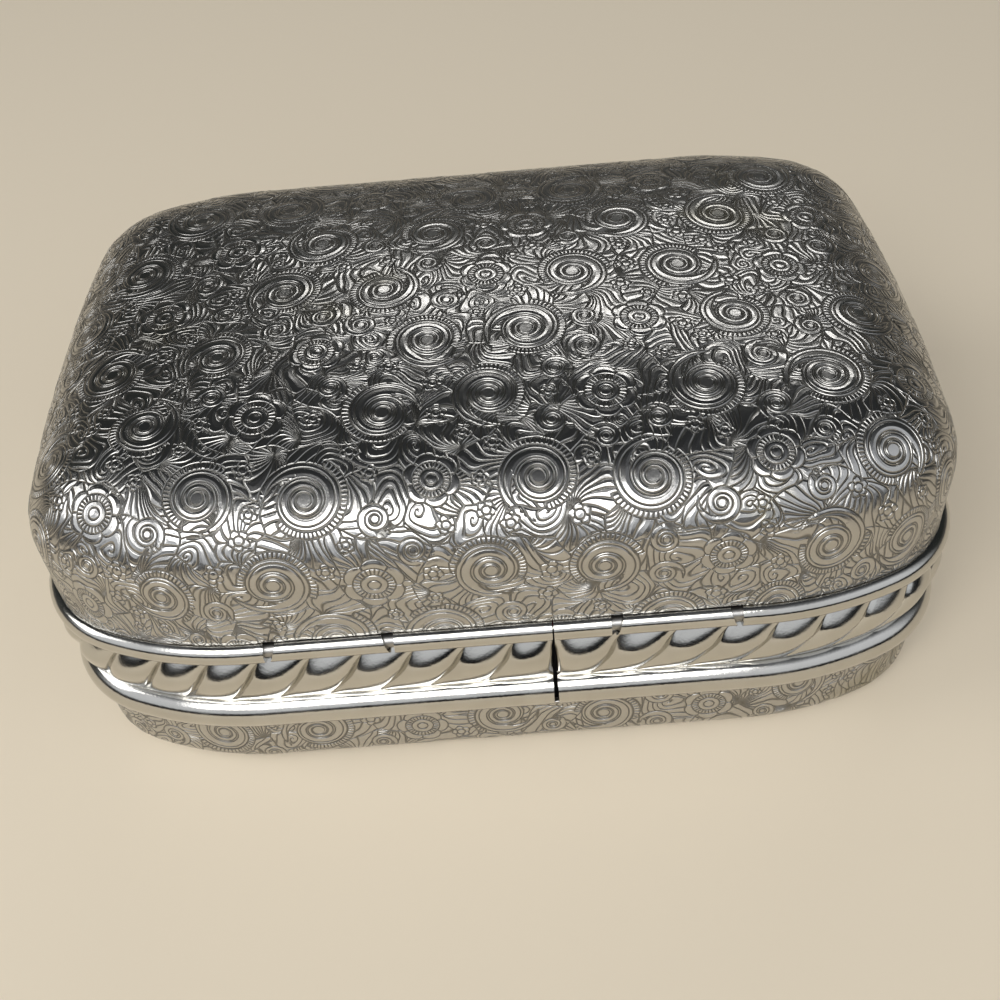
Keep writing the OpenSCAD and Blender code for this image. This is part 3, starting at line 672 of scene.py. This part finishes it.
# Lid rim: a strip soldered inside the lid's wall, whose lower edge is rolled outwards into a
# hollow bead. Two windows cut in the bead at the back let the base's tongues reach the pins.
hinge_y = box_dep / 2 - top_bead_r
shut_gap = 0.1
hinge_z = rope_z1 + shut_gap + top_bead_r
flange_out = lid_wall_inset + sheet_t + skin_gap
flange_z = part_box("lid_rim")[1].z / MM
curl_in = top_bead_r - strip_t
curl_from = math.degrees(math.acos((flange_out - top_bead_r) / top_bead_r))
curl_to = math.degrees(math.acos((flange_out + strip_t - top_bead_r) / top_bead_r))
curl_end = 385
window_from = 9.3
window_len = 11.2
stop_edge = math.radians(25)
lid_rim = swept("rolled_lid_rim", [(-flange_out, flange_z), (-flange_out - strip_t, flange_z),
                                   (-flange_out - strip_t, hinge_z + top_bead_r * math.sin(math.radians(curl_to)))]
                + arc_points(top_bead_r, hinge_z, curl_in, curl_to, curl_end, 22)
                + arc_points(top_bead_r, hinge_z, top_bead_r, curl_end, curl_from, 30), 420, strip_run)


def cut_out(piece, bm):
    """Cuts the form in bm out of a piece, and frees it."""
    mesh = bpy.data.meshes.new("cutter")
    bm.to_mesh(mesh)
    bm.free()
    cutter = bpy.data.objects.new("cutter", mesh)
    bpy.context.scene.collection.objects.link(cutter)
    cut = piece.modifiers.new("cut", "BOOLEAN")
    cut.operation = "DIFFERENCE"
    cut.solver = "EXACT"
    cut.object = cutter
    whole = piece.evaluated_get(bpy.context.evaluated_depsgraph_get())
    piece.data = bpy.data.meshes.new_from_object(whole)
    piece.modifiers.clear()
    bpy.data.objects.remove(cutter)


for side in (-1, 1):
    bm = bmesh.new()
    wedge = [(0, 0)] + [((top_bead_r + 0.4) * math.cos(a), (top_bead_r + 0.4) * math.sin(a))
                        for a in np.linspace(-math.pi + stop_edge, math.pi, 40)]
    x0 = side * (window_from + window_len / 2) - window_len / 2
    face = bm.faces.new([bm.verts.new((x0 * MM, (hinge_y + p) * MM, (hinge_z + q) * MM)) for p, q in wedge])
    made = bmesh.ops.extrude_face_region(bm, geom=[face])["geom"]
    bmesh.ops.translate(bm, verts=[g for g in made if isinstance(g, bmesh.types.BMVert)],
                        vec=(window_len * MM, 0, 0))
    bmesh.ops.recalc_face_normals(bm, faces=bm.faces)
    cut_out(lid_rim, bm)
lid_rim.data.name = "rolled_lid_rim"
lid_rim.data.materials.clear()
lid_rim.data.materials.append(polished_plate)
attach(lid_rim, "lid")
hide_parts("lid_rim")

# Hinge tongues and the thumb lift: cut from the same plated strip and soldered in place.
coat(polished_plate, "hinge_tongue_left", "hinge_tongue_right", "thumb_lift")

# Hinge pins: drawn steel wire, grey and slightly rubbed along its length.
steel_wire, tree = new_material("drawn_steel_wire")
coordinates = add_node(tree, "TexCoord").outputs["Object"]
stretched = add_node(tree, "Mapping", {"Vector": coordinates, "Scale": (0.05, 1, 1)})
drawn = add_node(tree, "TexNoise", {"Vector": stretched, "Scale": 1 / (0.15 * MM), "Detail": 2.0})
dull = add_node(tree, "MapRange", {"Value": drawn, "To Min": 0.28, "To Max": 0.5})
metal = add_node(tree, "BsdfPrincipled", {"Base Color": linear("a8a6a3"), "Metallic": 1.0, "Roughness": dull})
add_node(tree, "OutputMaterial", {"Surface": metal})
coat(steel_wire, "hinge_pin_left", "hinge_pin_right")

# Catch spring and its rivets: hard rolled brass, brushed across, gone a little brown.
spring_brass, tree = new_material("rolled_spring_brass")
coordinates = add_node(tree, "TexCoord").outputs["Object"]
stretched = add_node(tree, "Mapping", {"Vector": coordinates, "Scale": (0.04, 1, 1)})
rolled = add_node(tree, "TexNoise", {"Vector": stretched, "Scale": 1 / (0.12 * MM), "Detail": 3.0})
browned = add_node(tree, "TexNoise", {"Vector": coordinates, "Scale": 1 / (2.5 * MM), "Detail": 4.0})
tint = add_node(tree, "Mix", {"Factor": browned, 6: linear("b8924a"), 7: linear("dcb96e")}, data_type="RGBA")
dull = add_node(tree, "MapRange", {"Value": rolled, "To Min": 0.25, "To Max": 0.48})
bump = add_node(tree, "Bump", {"Height": rolled, "Distance": 0.005 * MM, "Strength": 1.0})
metal = add_node(tree, "BsdfPrincipled", {"Base Color": tint.outputs[2], "Metallic": 1.0,
                                          "Roughness": dull, "Normal": bump})
add_node(tree, "OutputMaterial", {"Surface": metal})
coat(spring_brass, "catch_spring", "catch_rivets")

# Linings: burgundy rayon velvet glued over card. Its short pile catches light along folds.
velvet, tree = new_material("rayon_velvet")
coordinates = add_node(tree, "TexCoord").outputs["Object"]
pile = add_node(tree, "TexNoise", {"Vector": coordinates, "Scale": 1 / (0.22 * MM), "Detail": 3.0})
nap = add_node(tree, "TexNoise", {"Vector": coordinates, "Scale": 1 / (9 * MM), "Detail": 3.0})
shade = add_node(tree, "Math", {0: pile, 1: 0.5, 2: nap}, operation="MULTIPLY_ADD")
shade = add_node(tree, "MapRange", {"Value": shade, "From Min": 0.5, "From Max": 1.0})
tint = add_node(tree, "Mix", {"Factor": shade, 6: linear("4a0815"), 7: linear("8c1a2d")}, data_type="RGBA")
bump = add_node(tree, "Bump", {"Height": pile, "Distance": 0.12 * MM, "Strength": 1.0})
cloth = add_node(tree, "BsdfPrincipled", {"Base Color": tint.outputs[2], "Roughness": 0.9, "Sheen Weight": 0.7,
                                          "Sheen Roughness": 0.35, "Sheen Tint": linear("c8606e"),
                                          "Normal": bump})
add_node(tree, "OutputMaterial", {"Surface": cloth})

spring_t = 0.35
rivet_head_t = 0.18
base_lining_out = wall_in + skin_gap + spring_t + rivet_head_t + skin_gap
base_lining_t = 0.9
base_lining_z0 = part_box("base_side_lining")[0].z / MM
base_lining_z1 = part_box("base_side_lining")[1].z / MM
lid_lining_out = flange_out + strip_t + 2 * skin_gap
lid_lining_t = 0.7
lid_lining_z0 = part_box("lid_side_lining")[0].z / MM
lid_lining_z1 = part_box("lid_side_lining")[1].z / MM


def lining_profile(out, t, z0, z1, turned_up):
    """A velvet covered strip with its one edge turned over in a roll."""
    z_roll = z1 - t / 2 if turned_up else z0 + t / 2
    sign = 1 if turned_up else -1
    roll = [(-out - t / 2 + t / 2 * math.cos(a), z_roll + sign * t / 2 * math.sin(a))
            for a in np.linspace(0, math.pi, 9)]
    far_z = z0 if turned_up else z1
    return [(-out, far_z)] + roll + [(-out - t, far_z)]


def closed_run(u, z):
    """Distances once round the box."""
    return u * plan_run


base_lining = swept("base_velvet_strip", lining_profile(base_lining_out, base_lining_t, base_lining_z0,
                                                         base_lining_z1, True), 300, closed_run)
lid_lining = swept("lid_velvet_strip", lining_profile(lid_lining_out, lid_lining_t, lid_lining_z0,
                                                       lid_lining_z1, False), 300, closed_run)
# The lid's strip is cut away in front, where the catch spring stands
notch_half = 5.5
notch_top = hinge_z + 2.7
bm = bmesh.new()
bmesh.ops.create_cube(bm, size=1)
bmesh.ops.scale(bm, verts=bm.verts, vec=(2 * notch_half * MM, 10 * MM, 2 * (notch_top - hinge_z) * MM))
bmesh.ops.translate(bm, verts=bm.verts, vec=(0, (-box_dep / 2 + 4) * MM, hinge_z * MM))
cut_out(lid_lining, bm)
# The outward faces of the strips, the card that carries the velvet, are painted near black: painted shade in the
# butt joint of the band, where the velvet would otherwise show
painted_shade_card, tree = new_material("painted_shade_card")
coordinates = add_node(tree, "TexCoord").outputs["Object"]
fibres = add_node(tree, "TexNoise", {"Vector": coordinates, "Scale": 1 / (0.4 * MM), "Detail": 4.0})
tint = add_node(tree, "Mix", {"Factor": fibres, 6: linear("100f0f"), 7: linear("1f1d1c")}, data_type="RGBA")
card = add_node(tree, "BsdfPrincipled", {"Base Color": tint.outputs[2], "Roughness": 0.9})
add_node(tree, "OutputMaterial", {"Surface": card})
for piece, body, node in ((base_lining, "base", "base_side_lining"), (lid_lining, "lid", "lid_side_lining")):
    piece.data.materials.clear()
    piece.data.materials.append(velvet)
    piece.data.materials.append(painted_shade_card)
    for face in piece.data.polygons:
        outwards = face.normal.x * face.center.x + face.normal.y * face.center.y
        # Outward facing sides take the near black painted shade
        face.material_index = int(abs(face.normal.z) < 0.3 and outwards > 0)
    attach(piece, body)
    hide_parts(node)

# Pads: wadding under velvet, one on the base's floor and one in the lid. Each is blown up as
# cloth at ten times its size, because cloth that is a few millimetres thick doesn't settle.
pad_gap = 0.2
pad_inset = base_lining_out + base_lining_t + pad_gap
lid_pad_inset = lid_lining_out + lid_lining_t + pad_gap
cloth_scale = 10
cloth_frames = 20
# How far the filling may push the velvet out
swell = 1.1


def make_pad(name, node, inset, faces_up):
    """A pad with drawn-in sides, crowned by its filling, inside the space of its CAD node."""
    low, high = (corner.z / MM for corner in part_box(node))
    tall = high - low
    side = 1 if faces_up else -1
    foot = low if faces_up else high
    # How far in each row lies, in mm, and how high, as a share of the pad's height
    rows = [(0.4, 0.02), (-0.1, 0.15), (-0.2, 0.4), (-0.1, 0.62), (0.5, 0.78), (1.8, 0.84)]
    bm = bmesh.new()
    columns = 140
    bmesh.ops.create_grid(bm, x_segments=columns, y_segments=len(rows) - 1, size=1)
    verts = list(bm.verts)
    u, v = (np.array([vert.co[:2] for vert in verts]) / 2 + 0.5).T
    row = np.array(rows)[np.rint(v * (len(rows) - 1)).astype(int)]
    px, py = plan_at(u * plan_run, inset + row[:, 0])
    for vert, *at in zip(verts, px * MM, py * MM, (foot + side * tall * row[:, 1]) * MM):
        vert.co = at
    bmesh.ops.remove_doubles(bm, verts=bm.verts, dist=0.001 * MM)
    bmesh.ops.holes_fill(bm, edges=[e for e in bm.edges if e.is_boundary], sides=0)
    bmesh.ops.triangulate(bm, faces=[f for f in bm.faces if len(f.verts) > 4])
    bmesh.ops.recalc_face_normals(bm, faces=bm.faces)
    bmesh.ops.scale(bm, verts=bm.verts, vec=(cloth_scale,) * 3)
    mesh = bpy.data.meshes.new(name)
    bm.to_mesh(mesh)
    bm.free()
    pad = bpy.data.objects.new(name, mesh)
    bpy.context.scene.collection.objects.link(pad)
    remesh = pad.modifiers.new("weave", "REMESH")
    remesh.mode = "VOXEL"
    remesh.voxel_size = 0.0075
    pad.data = bpy.data.meshes.new_from_object(pad.evaluated_get(bpy.context.evaluated_depsgraph_get()))
    pad.modifiers.clear()
    before = np.zeros(len(pad.data.vertices) * 3)
    pad.data.vertices.foreach_get("co", before)
    blown = pad.modifiers.new("filling", "CLOTH")
    blown.settings.use_pressure = True
    blown.settings.uniform_pressure_force = 4
    blown.settings.effector_weights.gravity = 0
    blown.point_cache.frame_start, blown.point_cache.frame_end = 1, cloth_frames
    for number in range(1, cloth_frames + 1):
        bpy.context.scene.frame_set(number)
    after_mesh = bpy.data.meshes.new_from_object(pad.evaluated_get(bpy.context.evaluated_depsgraph_get()))
    after = np.zeros(len(after_mesh.vertices) * 3)
    after_mesh.vertices.foreach_get("co", after)
    pad.modifiers.clear()
    bpy.context.scene.frame_set(1)
    before, after = before.reshape(-1, 3) / cloth_scale / MM, after.reshape(-1, 3) / cloth_scale / MM
    moved = after - before
    far = np.linalg.norm(moved, axis=1)
    after = before + moved * np.minimum(1, swell / np.maximum(far, 1e-9))[:, None]
    # Wadding pushes the velvet back out against the side lining
    wide = np.array([box_len / 2, box_dep / 2]) - inset + pad_gap
    after[:, :2] *= wide / np.abs(after[:, :2]).max(axis=0)
    after[:, 2] = np.clip(after[:, 2], low, high - 0.02) if faces_up else np.clip(after[:, 2], low + 0.02, high)
    pad.data.vertices.foreach_set("co", (after * MM).astype(np.float32).ravel())
    pad.data.update()
    bpy.data.meshes.remove(after_mesh)
    for face in pad.data.polygons:
        face.use_smooth = True
    smooth = pad.modifiers.new("smooth", "SUBSURF")
    smooth.levels = smooth.render_levels = 1
    pad.data.materials.clear()
    pad.data.materials.append(velvet)
    return pad


for name, node, inset, faces_up, body in (("floor_cushion", "base_floor_pad", pad_inset, True, "base"),
                                          ("lid_cushion", "lid_lining_pad", lid_pad_inset, False, "lid")):
    pad = make_pad(name, node, inset, faces_up)
    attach(pad, body)
    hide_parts(node)

# Lining cards: plain grey millboard under the pads.
millboard, tree = new_material("grey_millboard")
coordinates = add_node(tree, "TexCoord").outputs["Object"]
fibres = add_node(tree, "TexNoise", {"Vector": coordinates, "Scale": 1 / (0.6 * MM), "Detail": 6.0})
tint = add_node(tree, "Mix", {"Factor": fibres, 6: linear("8f8170"), 7: linear("b3a794")}, data_type="RGBA")
bump = add_node(tree, "Bump", {"Height": fibres, "Distance": 0.03 * MM, "Strength": 1.0})
paper = add_node(tree, "BsdfPrincipled", {"Base Color": tint.outputs[2], "Roughness": 0.85, "Normal": bump})
add_node(tree, "OutputMaterial", {"Surface": paper})
coat(millboard, "base_floor_card", "lid_lining_card")
